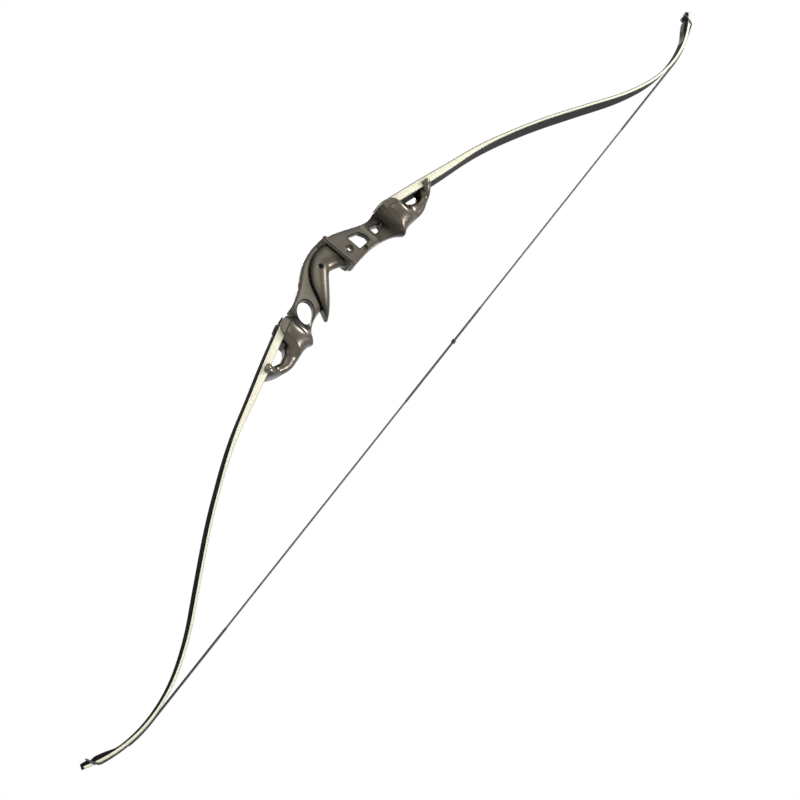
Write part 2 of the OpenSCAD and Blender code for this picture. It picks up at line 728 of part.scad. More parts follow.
loop_rows = concat(
    loop_half,
    [[nock_at - 45, 0, -loop_lie - 0.1]],
    [for (i = [len(loop_half) - 1:-1:1]) [loop_half[i][0], -loop_half[i][1], loop_half[i][2]]]
);
function limb_point(q) = let (p = off(q[0], q[2])) [p.x, q[1], p.y];
loop_m = len(loop_rows);
loop_path = [
    for (i = [0:loop_m - 1], k = [0:2])
        limb_point(between(
            loop_rows[(i + loop_m - 1) % loop_m], loop_rows[i], loop_rows[(i + 1) % loop_m],
            loop_rows[(i + 2) % loop_m], k / 3
        )),
];
lie_steps = 7;
lie_path = [
    for (i = [0:lie_steps])
        limb_point([contact_s + (join_s - contact_s) * i / lie_steps, 0, -lie]),
];
module string_loop(k) {
    color(strand)
    at_seat(k) {
        d = dir(nock_at - 10) + 25;
        tube(loop_path, loop_r, 6, [cos(d), 0, -sin(d)], closed = true);
        tube(lie_path, string_r + serving_t, 8, [0, 1, 0]);
    }
}
module bowstring() {
    color(strand)
    translate([string_x, 0, mid_z - contact.y]) cylinder(d = string_d, h = 2 * contact.y);
}
// A serving is a sleeve wound tight on the straight string
module serving(z0, z1) {
    color(black)
    translate([string_x, 0, z0])
    difference() {
        cylinder(r = string_r + serving_t, h = z1 - z0);
        translate([0, 0, -1]) cylinder(r = string_r, h = z1 - z0 + 2);
    }
}
nock_z = mid_z + shelf_v + nock_up;
module centre_serving() {
    serving(nock_z - centre_serving_len * 0.62, nock_z + centre_serving_len * 0.38);
}
module end_serving(k) {
    top = mid_z + contact.y;
    bottom = mid_z - contact.y;
    if (k == 0) serving(top - end_serving_len, top);
    else serving(bottom, bottom + end_serving_len);
}
module nock_point() {
    nock_point_h = 4.5;
    nock_point_t = 1.3;
    color(brass)
    translate([string_x, 0, nock_z])
    difference() {
        cylinder(r = string_r + serving_t + nock_point_t, h = nock_point_h);
        translate([0, 0, -1]) cylinder(r = string_r + serving_t, h = nock_point_h + 2);
    }
}

riser();
grip();
grip_screw();
grip_nut();
plunger_bushing();
sight_bushing();
stabiliser_bushing();
color(cream) lamination(0, core_belly, core_back);  // upper_limb_core
color(black) lamination(0, core_back, back_face);  // upper_back_glass
color(black) lamination(0, belly_face, core_belly);  // upper_belly_glass
tip_overlay(0);  // upper_tip_overlay
limb_sleeve(0);  // upper_limb_sleeve
riser_insert(0);  // upper_riser_insert
locating_pin(0);  // upper_locating_pin
limb_pad(0);  // upper_limb_pad
cup_washer(0);  // upper_cup_washer
limb_bolt(0);  // upper_limb_bolt
color(cream) lamination(1, core_belly, core_back);  // lower_limb_core
color(black) lamination(1, core_back, back_face);  // lower_back_glass
color(black) lamination(1, belly_face, core_belly);  // lower_belly_glass
tip_overlay(1);  // lower_tip_overlay
limb_sleeve(1);  // lower_limb_sleeve
riser_insert(1);  // lower_riser_insert
locating_pin(1);  // lower_locating_pin
limb_pad(1);  // lower_limb_pad
cup_washer(1);  // lower_cup_washer
limb_bolt(1);  // lower_limb_bolt
bowstring();
string_loop(0);  // upper_string_loop
string_loop(1);  // lower_string_loop
end_serving(0);  // upper_end_serving
end_serving(1);  // lower_end_serving
centre_serving();
nock_point();
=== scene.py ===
import bpy
import numpy as np
from mathutils import Matrix, Vector


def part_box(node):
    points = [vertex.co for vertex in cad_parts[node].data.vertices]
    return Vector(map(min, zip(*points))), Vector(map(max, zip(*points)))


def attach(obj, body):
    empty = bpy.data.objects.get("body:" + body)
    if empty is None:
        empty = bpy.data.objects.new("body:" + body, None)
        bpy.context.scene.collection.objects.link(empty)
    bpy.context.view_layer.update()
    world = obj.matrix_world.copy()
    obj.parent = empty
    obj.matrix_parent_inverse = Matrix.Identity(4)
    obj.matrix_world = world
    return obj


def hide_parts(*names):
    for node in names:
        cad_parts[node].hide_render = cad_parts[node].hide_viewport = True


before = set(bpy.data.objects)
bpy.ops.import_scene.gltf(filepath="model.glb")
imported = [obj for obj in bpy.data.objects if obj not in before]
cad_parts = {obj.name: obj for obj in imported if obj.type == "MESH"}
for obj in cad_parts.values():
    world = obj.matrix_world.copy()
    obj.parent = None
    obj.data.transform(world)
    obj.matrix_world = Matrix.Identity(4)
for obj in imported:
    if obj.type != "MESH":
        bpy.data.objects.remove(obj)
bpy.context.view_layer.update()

mm = 0.001

# Camera.
# It stands low and in front of the window side and looks up along the bow's slant.
bpy.context.scene.view_settings.view_transform = "Standard"
camera = bpy.data.objects.new("camera", bpy.data.cameras.new("camera"))
bpy.context.scene.collection.objects.link(camera)
camera.data.lens = 64.83
camera.data.sensor_width = 36
camera.data.clip_end = 50
camera.matrix_world = Matrix((
    (0.76421, -0.64132, -0.0685, 0.052),
    (-0.27736, -0.23089, -0.93261, -1.8606),
    (0.58229, 0.73171, -0.35433, -0.7858),
    (0, 0, 0, 1),
))
bpy.context.scene.camera = camera

# Bowstring, the straight part between the limbs.
# It is a bundle of waxed polyester strands, laid with a slight twist and held taut by the limbs.


def surface(name, grid, ring=False):
    """A closed skin through a grid of points in millimetres: rows follow the piece and columns go round it.
    A ring joins the last row to the first; otherwise each end is closed by one flat face."""
    m, n = grid.shape[:2]
    i, j = np.meshgrid(np.arange(m if ring else m - 1), np.arange(n), indexing="ij")
    over = (i + 1) % m
    side = (j + 1) % n
    faces = np.stack([i * n + j, i * n + side, over * n + side, over * n + j], -1).reshape(-1, 4)
    p = grid.reshape(-1, 3)
    a, b, c, d = (p[faces[:, k]] for k in range(4))
    volume = np.sum(np.cross(a, b) * c) + np.sum(np.cross(a, c) * d)
    corners = faces.ravel()
    counts = np.full(len(faces), 4)
    if not ring:
        ends = [np.arange(n)[::-1], (m - 1) * n + np.arange(n)]
        for end in ends:
            q = p[end]
            volume += np.sum(np.cross(q[0], q[1:-1]) * q[2:])
        corners = np.concatenate([corners, *ends])
        counts = np.concatenate([counts, [n, n]])
    if volume < 0:
        corners = corners[::-1]
        counts = counts[::-1]
    mesh = bpy.data.meshes.new(name)
    mesh.vertices.add(len(p))
    mesh.vertices.foreach_set("co", (p * mm).astype(np.float32).ravel())
    mesh.loops.add(len(corners))
    mesh.loops.foreach_set("vertex_index", corners.astype(np.int32))
    mesh.polygons.add(len(counts))
    mesh.polygons.foreach_set("loop_start", np.concatenate([[0], np.cumsum(counts)[:-1]]).astype(np.int32))
    mesh.polygons.foreach_set("use_smooth", np.full(len(counts), True))
    mesh.update(calc_edges=True)
    piece = bpy.data.objects.new(name, mesh)
    bpy.context.scene.collection.objects.link(piece)
    return piece


def swept(path, radius, columns, up):
    """A tube along a path: at distance l and angle a the wall stands radius(l, a) from the path,
    square to it, with angle 0 nearest the direction up."""
    t = np.gradient(path, axis=0)
    t /= np.linalg.norm(t, axis=1, keepdims=True)
    l = np.concatenate([[0], np.cumsum(np.linalg.norm(np.diff(path, axis=0), axis=1))])
    u = up - t * (t @ up)[:, None]
    u /= np.linalg.norm(u, axis=1, keepdims=True)
    v = np.cross(t, u)
    a = np.linspace(0, 2 * np.pi, columns, endpoint=False)
    r = radius(l[:, None], a[None, :])[..., None]
    return path[:, None] + r * (np.cos(a)[None, :, None] * u[:, None] + np.sin(a)[None, :, None] * v[:, None])


def finish_of(name, colour, roughness, metallic=0.0, coat=0.0, sheen=0.0):
    """A Principled material whose constant values stand on its own sockets."""
    material = bpy.data.materials.new(name)
    material.use_nodes = True
    shader = material.node_tree.nodes["Principled BSDF"]
    shader.inputs["Base Color"].default_value = (*colour, 1)
    shader.inputs["Roughness"].default_value = roughness
    shader.inputs["Metallic"].default_value = metallic
    shader.inputs["Coat Weight"].default_value = coat
    shader.inputs["Coat Roughness"].default_value = 0.1
    shader.inputs["Sheen Weight"].default_value = sheen
    return material


def grained(material, dark, light, rough, relief, scale, stretch=(1, 1, 1), on="Object"):
    """Adds a noise on the piece's own coordinates, in features of 1 m over scale, stretched along an axis:
    it moves the colour from dark to light, the roughness over rough, and the height by relief metres."""
    nodes, links = material.node_tree.nodes, material.node_tree.links
    shader = nodes["Principled BSDF"]
    place = nodes.new("ShaderNodeTexCoord")
    turn = nodes.new("ShaderNodeMapping")
    turn.inputs["Scale"].default_value = stretch
    links.new(place.outputs[on], turn.inputs["Vector"])
    noise = nodes.new("ShaderNodeTexNoise")
    noise.inputs["Scale"].default_value = scale
    noise.inputs["Detail"].default_value = 4
    links.new(turn.outputs["Vector"], noise.inputs["Vector"])
    ramp = nodes.new("ShaderNodeValToRGB")
    ramp.color_ramp.elements[0].position = 0.3
    ramp.color_ramp.elements[1].position = 0.7
    ramp.color_ramp.elements[0].color = (*dark, 1)
    ramp.color_ramp.elements[1].color = (*light, 1)
    links.new(noise.outputs["Fac"], ramp.inputs["Fac"])
    links.new(ramp.outputs["Color"], shader.inputs["Base Color"])
    reach = nodes.new("ShaderNodeMapRange")
    reach.inputs["From Min"].default_value = 0.3
    reach.inputs["From Max"].default_value = 0.7
    reach.inputs["To Min"].default_value = rough[0]
    reach.inputs["To Max"].default_value = rough[1]
    links.new(noise.outputs["Fac"], reach.inputs["Value"])
    links.new(reach.outputs["Result"], shader.inputs["Roughness"])
    bump = nodes.new("ShaderNodeBump")
    bump.inputs["Distance"].default_value = relief
    bump.inputs["Strength"].default_value = 1
    links.new(noise.outputs["Fac"], bump.inputs["Height"])
    links.new(bump.outputs["Normal"], shader.inputs["Normal"])


strand_wax = finish_of("waxed_strand", (0.045, 0.047, 0.052), 0.5, sheen=0.3)
grained(strand_wax, (0.03, 0.031, 0.035), (0.085, 0.088, 0.098), (0.4, 0.62), 0.00005, 1400, (1, 1, 0.04))

string_low, string_high = (np.array(c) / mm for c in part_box("bowstring"))
string_x = (string_low[0] + string_high[0]) / 2
string_r = 1.4
string_top = np.array([string_x, 0, string_high[2]])
string_foot = np.array([string_x, 0, string_low[2]])


def bundle_wall(l, a):
    """Twelve strands side by side, one turn in 70 mm: the wall dips by a tenth between neighbours."""
    return string_r * (0.9 + 0.1 * np.abs(np.cos(6 * (a - 2 * np.pi * l / 70))))


along_x = np.array([1.0, 0, 0])
run = string_top + (string_foot - string_top) * np.linspace(0, 1, 700)[:, None]
bowstring = surface("string_bundle", swept(run, bundle_wall, 36, along_x))
bowstring.data.materials.append(strand_wax)
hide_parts("bowstring")
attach(bowstring, "bow")

# Riser, the rigid middle of the bow.
# It is one aluminium casting with a pocket for each limb, cut away to thin rims where it carries little.
# Its paint is a satin metallic bronze grey, with painted shade in the rims, the necks and the grip's seam.

# The height of the riser's middle, and of the limb butts above and below it, with their X and their lean
mid_z = 9
butt_v = 107
seat_x = 2.6
tilt = np.radians(16)


def between(rows, steps):
    """Rows of numbers on a Catmull-Rom curve through the given rows, with so many steps between two."""
    rows = np.array(rows, float)
    t = (np.arange(steps) / steps)[None, :, None]
    q, r = rows[:-1, None], rows[1:, None]
    p = np.concatenate([rows[:1], rows[:-2]])[:, None]
    s = np.concatenate([rows[2:], rows[-1:]])[:, None]
    curve = 0.5 * (2 * q + (r - p) * t + (2 * p - 5 * q + 4 * r - s) * t**2 + (3 * q - p - 3 * r + s) * t**3)
    return np.concatenate([curve.reshape(-1, rows.shape[1]), rows[-1:]])


def sections(rows):
    """One rounded section a row of height, back, belly, near Y, far Y and squareness n:
    a superellipse, offset by half the width times cos(a) to the power of 2 / n, and the same with sin."""
    v, back, belly, near, far_side, square = (c[:, None] for c in np.array(rows, float).T)
    a = 2 * np.pi * (np.arange(96) + 0.5)[None, :] / 96
    x = (back + belly) / 2 + (belly - back) / 2 * np.sign(np.cos(a)) * np.abs(np.cos(a)) ** (2 / square)
    y = (near + far_side) / 2 + (far_side - near) / 2 * np.sign(np.sin(a)) * np.abs(np.sin(a)) ** (2 / square)
    return np.stack([x, y, v + mid_z + 0 * a], -1)


def rounded(points, radius, steps=8):
    """An outline with each corner replaced by an arc of that radius, tangent to both sides."""
    p = np.array(points, float)
    a = np.roll(p, 1, 0) - p
    b = np.roll(p, -1, 0) - p
    a /= np.linalg.norm(a, axis=1, keepdims=True)
    b /= np.linalg.norm(b, axis=1, keepdims=True)
    half = np.arccos(np.sum(a * b, 1)) / 2
    m = a + b
    centre = p + m / np.linalg.norm(m, axis=1, keepdims=True) * (radius / np.sin(half))[:, None]
    start = p + a * (radius / np.tan(half))[:, None] - centre
    turn = -np.sign(a[:, 0] * b[:, 1] - a[:, 1] * b[:, 0]) * (np.pi - 2 * half)
    t = turn[:, None] * np.linspace(0, 1, steps + 1)
    x = start[:, :1] * np.cos(t) - start[:, 1:] * np.sin(t)
    z = start[:, :1] * np.sin(t) + start[:, 1:] * np.cos(t)
    return (centre[:, None] + np.stack([x, z], -1)).reshape(-1, 2)


def seated(x, y, s, lower):
    """A point of a limb seat's frame, x to the belly and s along the limb from its butt, in the bow's frame:
    the frame leans by 16 degrees, and the lower one is the mirror image of the upper."""
    up = butt_v - x * np.sin(tilt) + s * np.cos(tilt)
    back_x = seat_x + x * np.cos(tilt) + s * np.sin(tilt)
    return np.stack(np.broadcast_arrays(back_x, y, mid_z + (-up if lower else up)), -1)


def plate(outline, near, far_side, lower=None):
    """An outline in X and height, drawn out in Y from near to far; in a seat's frame if lower is given."""
    o = np.array(outline, float)[None]
    y = np.array([near, far_side], float)[:, None]
    if lower is None:
        return surface("cutter", np.stack(np.broadcast_arrays(o[..., 0], y, o[..., 1] + mid_z), -1))
    return surface("cutter", seated(o[..., 0], y, o[..., 1], lower))


def circle(radius, x, z, columns):
    """An outline in X and height: a circle of that radius about a point."""
    a = np.linspace(0, 2 * np.pi, columns, endpoint=False)
    return np.stack([x + radius * np.cos(a), z + radius * np.sin(a)], -1)


def rod(radius, start, end, x, z):
    """A rod along Y, of that radius, at X and height."""
    return plate(circle(radius, x, z, 64), start, end)


def seat_rod(radius, start, end, s, lower):
    """A rod square to a limb seat, at the distance s from the butt, with no corner on the centre plane."""
    a = 2 * np.pi * (np.arange(64)[None] + 0.5) / 64
    x = np.array([start, end], float)[:, None]
    return surface("cutter", seated(x, radius * np.cos(a), s + radius * np.sin(a), lower))


def settle(piece):
    """Makes the piece's modifiers part of its mesh."""
    graph = bpy.context.evaluated_depsgraph_get()
    evaluated = piece.evaluated_get(graph)
    mesh = bpy.data.meshes.new_from_object(evaluated, preserve_all_data_layers=True, depsgraph=graph)
    old = piece.data
    piece.modifiers.clear()
    # A cut leaves an empty material slot behind, and its faces go to the last real one
    real = [m for m in mesh.materials if m]
    index = np.zeros(len(mesh.polygons), np.int32)
    mesh.polygons.foreach_get("material_index", index)
    mesh.materials.clear()
    for m in real:
        mesh.materials.append(m)
    mesh.polygons.foreach_set("material_index", np.minimum(index, max(len(real) - 1, 0)))
    piece.data = mesh
    mesh.name = piece.name
    bpy.data.meshes.remove(old)


def carve(piece, *cutters, keep_inside=False):
    """Cuts each cutter out of the piece in turn, or keeps what lies inside it, and removes the cutter."""
    for cutter in cutters:
        cut = piece.modifiers.new("cut", "BOOLEAN")
        cut.operation = "INTERSECT" if keep_inside else "DIFFERENCE"
        cut.solver = "MANIFOLD"
        cut.object = cutter
        settle(piece)
        old = cutter.data
        bpy.data.objects.remove(cutter)
        bpy.data.meshes.remove(old)


def soften(piece, voxel, most):
    """Rounds every edge as casting and paint do: remeshed in voxels, smoothed, thinned to so many faces."""
    remesh = piece.modifiers.new("even", "REMESH")
    remesh.mode = "VOXEL"
    remesh.voxel_size = voxel * mm
    remesh.use_smooth_shade = True
    smooth = piece.modifiers.new("soft", "SMOOTH")
    smooth.factor = 0.5
    smooth.iterations = 3
    settle(piece)
    faces = 2 * len(piece.data.polygons)
    if faces > most:
        thin = piece.modifiers.new("thin", "DECIMATE")
        thin.ratio = most / faces
        settle(piece)
    piece.data.polygons.foreach_set("use_smooth", np.full(len(piece.data.polygons), True))


# Rows of height, back, belly, near Y, far Y and squareness. Those of a cheek are heights from the limb butt
# and shares of the cheek's half width, and both cheeks use them.
cheek = 28.8
cheek_rows = [
    [butt_v + r[0], r[1], r[2], -cheek * r[3], cheek * r[3], r[4]]
    for r in [
        [1, -26, 47.4, 0.8, 2.2],
        [4, -32, 46.8, 0.94, 2.2],
        [9, -34, 44.4, 1.03, 2.3],
        [18, -32, 43.6, 1.05, 2.4],
        [24, -30, 44.2, 1.0, 2.4],
        [30, -20, 44.9, 0.78, 2.2],
        [36, 6, 45.6, 0.5, 2],
        [45, 21, 46.4, 0.4, 2],
        [54, 26.5, 45, 0.4, 2],
        [62, 22, 42.2, 0.44, 2],
        [66, 4, 40.8, 0.56, 2.4],
        [70, -24, 39, 0.86, 3],
        [75, -24, 35.8, 1.02, 3.2],
        [80, -14, 32.2, 1.01, 3.2],
        [83.4, -2, 29.6, 0.93, 3],
    ]
]
lower_rows = [[-r[0], *r[1:]] for r in reversed(cheek_rows)] + [
    [-104, -9.4, 43.4, -cheek * 0.7, cheek * 0.7, 2.5],
    [-98, -8.6, 36.4, -cheek * 0.46, cheek * 0.46, 2.8],
    [-90, -8.6, 30.6, -8.1, 8.1, 4],
    [-80, -10, 27, -6.5, 6.5, 6],
    [-66, -15, 25.4, -7.6, 7.6, 6],
    [-54, -21, 26, -8, 8, 6],
    [-40, -29.2, 24, -8, 8, 6],
    [-23, -36.8, 14, -8, 8, 6],
    [-4, -39.6, 9, -8, 8, 6],
    [4, -39.6, 8, -9.5, 9.5, 5],
    [9, -39.2, 11, -13.5, 13.5, 5],
    [12.8, -38.8, 14.4, -15.5, 15.5, 6],
]
lip_rows = [
    [12.8, -38.4, 16.4, -18.4, 17.1, 9],
    [15.2, -38.4, 17.4, -18.4, 17.1, 9],
    [15.2, -38, 16.4, -16.1, 15.9, 9],
    [17, -38, 17.4, -16.1, 15.9, 9],
    [17, -38.4, 20.4, -20, 18, 10],
    [21, -38.4, 22.4, -20, 18, 10],
    [21, -37.4, 21.5, 4, 16, 8],
]
upper_rows = [
    [24, -37.4, 21.5, 4, 16, 8],
    [31.7, -34.7, 21.3, 4, 16, 8],
    [41.3, -31, 21.8, 4, 16, 8],
    [56.6, -23, 22.6, 4, 16, 8],
    [68, -16.5, 24.4, 4, 16, 8],
    [78, -11, 27, 3.5, 16.3, 7],
    [86, -7.5, 29.8, 0, 17.5, 5],
    [93, -6.4, 33.6, -5, 17.6, 3.4],
    [99, -7.4, 38, -cheek * 0.48, 17.6, 2.8],
    [104, -9.4, 43.4, -cheek * 0.68, cheek * 0.64, 2.4],
] + cheek_rows
riser_rows = np.concatenate([between(lower_rows, 6), lip_rows, between(upper_rows, 6)])
riser = surface("riser_casting", sections(riser_rows))

# In a seat's frame: the limb's width and corners, its gap in the pocket, the ears' thickness beside it,
# and how far up the limb its bolt and its locating pin are
limb_w = 46
butt_round = 12
gap = 0.4
pocket = limb_w / 2 + gap
ear = 4.2
bolt_s = 17
pin_s = 77
# Cutters reach this far to both sides, towards the back and up the limb, which is past the riser
wide = 90
behind = -60
beyond = 120
arch_line = rounded([[-4, 33], [8, 36], [12, 47], [12, 61], [-4, 66]], 4)
for lower in (False, True):
    # What lies behind the seat goes, but for the two round lobes of the ears on each side of the limb
    sky_line = [[behind, -30], [-6.6, -14], [-9.4, -gap], [0, -gap], [0, beyond], [behind, beyond]]
    sky = plate(sky_line, -wide, wide, lower)
    for x, s, r in ((1.5, 14, 12), (2, 79, 9)):
        carve(sky, plate(circle(r, x, s, 96), -wide - 1, wide + 1, lower))
    carve(sky, plate([[6, -14], [-6.6, -14], [-9.4, -gap], [-10.3, 10], [6, 14]], -wide - 1, wide + 1, lower))
    bed_line = [[-pocket, -gap], [pocket, -gap], [pocket, beyond], [-pocket, beyond]]
    bed = rounded(bed_line, butt_round, steps=12)
    depth = np.array([behind, 0.0])[:, None]
    room = surface("cutter", seated(depth, bed[None, :, 0], bed[None, :, 1], lower))
    sides = [
        plate([[behind, -1], [0, -1], [0, beyond], [behind, beyond]], y, y + 40, lower)
        for y in (-pocket - ear - 40, pocket + ear)
    ]
    arch = plate(arch_line, -wide, wide, lower)
    pad_bed = plate([[-1, 73.6], [1, 73.6], [1, 82.4], [-1, 82.4]], -21, 21, lower)
    insert_bore = seat_rod(6.5, -1, 18, bolt_s, lower)
    pin_bore = seat_rod(3, -1, 10, pin_s, lower)
    carve(riser, sky, room, *sides, arch, pad_bed, insert_bore, pin_bore)

# The grip's seam with the riser, and the tongue that the grip straddles
seam = between([
    [-27, 12.8], [-31, 4], [-31.4, -6], [-28.6, -18], [-22.6, -30],
    [-13, -40], [-2, -47.5], [11, -53.8], [24.4, -61],
], 8)
grip_zone = np.concatenate([seam, [[26.6, -61.4], [34.6, -66.6], [38.4, -69.4], [60, -69.4], [60, 12.8]]])
tongue_half = 7
tongue = rounded([
    [-34, 16], [-3, 16], [-8.5, -2], [-8.5, -15], [3, -34],
    [14, -48], [19, -58], [6, -56], [-16, -42], [-34, -20],
], 2)
grip_room = plate(grip_zone, -wide, wide)
carve(grip_room, plate(tongue, -tongue_half, tongue_half))

# The hole below the grip is an ellipse, made a tenth wider towards one end, and leans by 35.6 degrees
a = np.linspace(0, 2 * np.pi, 96, endpoint=False)
across = 11.5 * np.sin(a) * (1 + 0.1 * np.cos(a))
tall = 18 * np.cos(a)
lean = np.radians(35.6)
egg = np.stack([
    11 + across * np.cos(lean) - tall * np.sin(lean),
    -81.5 + across * np.sin(lean) + tall * np.cos(lean),
], -1)
big_cut = rounded([[-13.5, 50.6], [-5.2, 67], [6, 71.4], [13, 70], [11, 50.6]], 1.6)
small_cut = rounded([[0.8, 82.3], [9.6, 96.6], [15.4, 95], [14.4, 82.3]], 1.6)

# The cut-outs, the hole, and the bores of the plunger bushing, the sight bushing and the grip's screw
screw_r = 2.05
screw_at = (-14, -17)
carve(
    riser,
    grip_room,
    plate(big_cut, -wide, wide),
    plate(small_cut, -wide, wide),
    plate(egg, -wide, wide),
    rod(5.5, -wide, wide, 0, 40.5),
    rod(3.4, -wide, wide, 16.2, 57.5),
    rod(screw_r, -wide, wide, *screw_at),
)


def bore_from_back(radius, start, end, z):
    """A rod along X, of that radius, at a height on the centre plane."""
    a = np.linspace(0, 2 * np.pi, 64, endpoint=False)[None]
    x = np.array([start, end], float)[:, None]
    height = mid_z + z + radius * np.sin(a)
    return surface("cutter", np.stack(np.broadcast_arrays(x, radius * np.cos(a), height), -1))


# The bore of the stabiliser bushing and the flat that is faced round it
stabiliser_v = -58
carve(riser, bore_from_back(6, -17.5, -2.5, stabiliser_v), bore_from_back(6.3, -46.5, -16.5, stabiliser_v))
soften(riser, 0.75, 190000)

riser_paint = finish_of("bronze_grey_paint", (0.091, 0.082, 0.066), 0.29, metallic=0.9)
grained(riser_paint, (0.078, 0.07, 0.056), (0.104, 0.094, 0.076), (0.26, 0.32), 0.00002, 2200)
riser.data.materials.append(riser_paint)


def distance_to(outline, x, v):
    """How far points of X and height are from a closed outline: to the nearest point of its nearest side."""
    p = np.stack([x, v], -1)[:, None]
    a = outline[None]
    side = np.roll(outline, -1, 0)[None] - a
    t = np.clip(np.sum((p - a) * side, -1) / np.sum(side**2, -1), 0, 1)[..., None]
    return np.sqrt(np.min(np.sum((p - a - t * side) ** 2, -1), 1))


def paint_shade_along(piece, paint, lines):
    """Paints shade into the paint along closed outlines, each given with its strength, full reach and fade in
    mm:
    the painted shade is full within the reach and falls straight to nothing over the fade."""
    place = np.zeros(3 * len(piece.data.vertices), np.float32)
    piece.data.vertices.foreach_get("co", place)
    x, y, v = place.reshape(-1, 3).T / mm
    v = v - mid_z
    painted_shade = np.zeros(len(x), np.float32)
    for outline, strength, reach, fade in lines:
        low, high = outline.min(0) - reach - fade, outline.max(0) + reach + fade
        near = (x > low[0]) & (x < high[0]) & (v > low[1]) & (v < high[1])
        level = np.clip((reach + fade - distance_to(outline, x[near], v[near])) / fade, 0, 1)
        painted_shade[near] = np.maximum(painted_shade[near], strength * level)
    # The point attribute holds how dark the painted shade is at each point
    piece.data.attributes.new("painted_shade", "FLOAT", "POINT").data.foreach_set("value", painted_shade)
    nodes, links = paint.node_tree.nodes, paint.node_tree.links
    shader = nodes["Principled BSDF"]
    shade_amount = nodes.new("ShaderNodeAttribute")
    shade_amount.attribute_name = "painted_shade"
    shade_mix = nodes.new("ShaderNodeMix")
    shade_mix.data_type = "RGBA"
    links.new(shade_amount.outputs["Fac"], shade_mix.inputs["Factor"])
    links.new(shader.inputs["Base Color"].links[0].from_socket, shade_mix.inputs["A"])
    # The painted shade is near black
    shade_mix.inputs["B"].default_value = (0.008, 0.007, 0.006, 1)
    links.new(shade_mix.outputs["Result"], shader.inputs["Base Color"])


# Painted shade darkens the walls and rims of the cut-outs, the seam under the grip and the necks at the
# cheeks
arches = [
    seated(arch_line[:, 0], 0, arch_line[:, 1], lower)[:, ::2] - [0, mid_z]
    for lower in (False, True)
]
rim_shades = [(line, 1, 0.7, 1.3) for line in (big_cut, small_cut, egg, *arches)]
upper_neck, lower_neck = (
    np.array([[-14, h * 96], [48, h * 101], [48, h * 102], [-14, h * 97]]) for h in (1, -1)
)
shades = [(grip_zone, 0.85, 0.6, 3), (upper_neck, 0.75, 2, 9), (lower_neck, 0.5, 1, 6)]
paint_shade_along(riser, riser_paint, rim_shades + shades)
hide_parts("riser")
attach(riser, "bow")

# Grip, a moulding that wraps the riser's tongue and carries the web of the hand.
# It is hard plastic in the riser's colour, held by one screw through the tongue,
# with painted shade along the seam.
grip_rows = [
    [12.8, -44, 13, -15.7, 15.7, 2.8],
    [8, -44, 7.4, -15.6, 15.6, 2.6],
    [3, -44, 4.4, -15.5, 15.5, 2.4],
    [-4, -44, 1, -15.5, 15.5, 2.3],
    [-9, -42, 0, -15.5, 15.5, 2.3],
    [-15, -40, 2.8, -15.5, 15.5, 2.3],
    [-24, -36, 10.4, -15.5, 15.5, 2.3],
    [-34, -30, 19, -15.3, 15.3, 2.3],
    [-45, -20, 27.8, -14.5, 14.5, 2.4],
    [-55, -6, 35, -13.1, 13.1, 2.4],
    [-62, 8, 39.2, -10.9, 10.9, 2.4],
    [-67, 20, 41.6, -8.5, 8.5, 2.4],
    [-70, 28, 42, -6.5, 6.5, 2.4],
]


def grown(outline, by):
    """An outline that runs against the clock, moved out along its normals."""
    a = outline - np.roll(outline, 1, 0)
    b = np.roll(outline, -1, 0) - outline
    a /= np.linalg.norm(a, axis=1, keepdims=True)
    b /= np.linalg.norm(b, axis=1, keepdims=True)
    m = np.stack([a[:, 1] + b[:, 1], -a[:, 0] - b[:, 0]], -1)
    m /= np.linalg.norm(m, axis=1, keepdims=True)
    return outline + m * by / np.maximum(0.5, m[:, :1] * a[:, 1:] - m[:, 1:] * a[:, :1])


grip = surface("grip_moulding", sections(between(grip_rows[::-1], 6)))
# It stands this far off the riser, and the screw's head and nut are let in from its two sides
seam_gap = 0.15
head_r = 3.55
carve(grip, plate(grown(grip_zone, -seam_gap), -wide, wide), keep_inside=True)
carve(
    grip,
    plate(grown(tongue[::-1], seam_gap), -tongue_half - seam_gap, tongue_half + seam_gap),
    rod(screw_r, -wide, wide, *screw_at),
    rod(head_r, -wide, -11.7, *screw_at),
    rod(head_r, 11.1, wide, *screw_at),
)
soften(grip, 0.55, 120000)
grip_paint = finish_of("bronze_grey_grip", (0.086, 0.077, 0.061), 0.29, metallic=0.9)
grained(grip_paint, (0.072, 0.064, 0.05), (0.1, 0.09, 0.072), (0.26, 0.32), 0.00002, 1800)
grip.data.materials.append(grip_paint)
# Painted shade darkens the grip along its seam with the riser
paint_shade_along(grip, grip_paint, [(grip_zone, 0.8, 0.5, 9)])
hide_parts("grip")
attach(grip, "bow")

# Limbs, each a core of pale wood strips between two laminations of glass fibre.
# They are pressed and glued over a form, ground to width and lacquered: black faces and pale bare edges,
# with a black block on the back of each tip that holds the string's loop.

# The belly's lean in degrees at stations along the limb, and the belly's curve in steps of 2.5 mm
limb_len = 665
stations = [0, 90, 150, 230, 330, 420, 490, 560, 665]
leans = [0, 0, -3, 6.4, 12.4, 13.2, 3.6, -14.8, -49.6]
step = 2.5
fine = np.arange(0, limb_len + step, step)
half_way = np.radians(np.interp(fine[:-1] + step / 2, stations, leans))
belly_x = np.concatenate([[0], np.cumsum(step * np.sin(half_way))])
belly_z = np.concatenate([[0], np.cumsum(step * np.cos(half_way))])


def on_limb(s, y, h, lower):
    """The point at s along the belly, y across and h above it towards the back:
    the belly is a chain of arcs whose lean runs straight between the stations, and h is square to it."""
    s, y, h = np.broadcast_arrays(s, y, h)
    lean = np.radians(np.interp(s, stations, leans))
    x = np.interp(s, fine, belly_x) - h * np.cos(lean)
    return seated(x, y, np.interp(s, fine, belly_z) + h * np.sin(lean), lower)


# Where the thickness is eased, how long the full width is, the tip's width and corners, the thickness of
# the glass and the length of the tip block
ease_from, ease_to = 50, 265
full_w_len = 150
tip_w = 13.5
tip_round = 5.5
glass_t = 1
block_len = 58


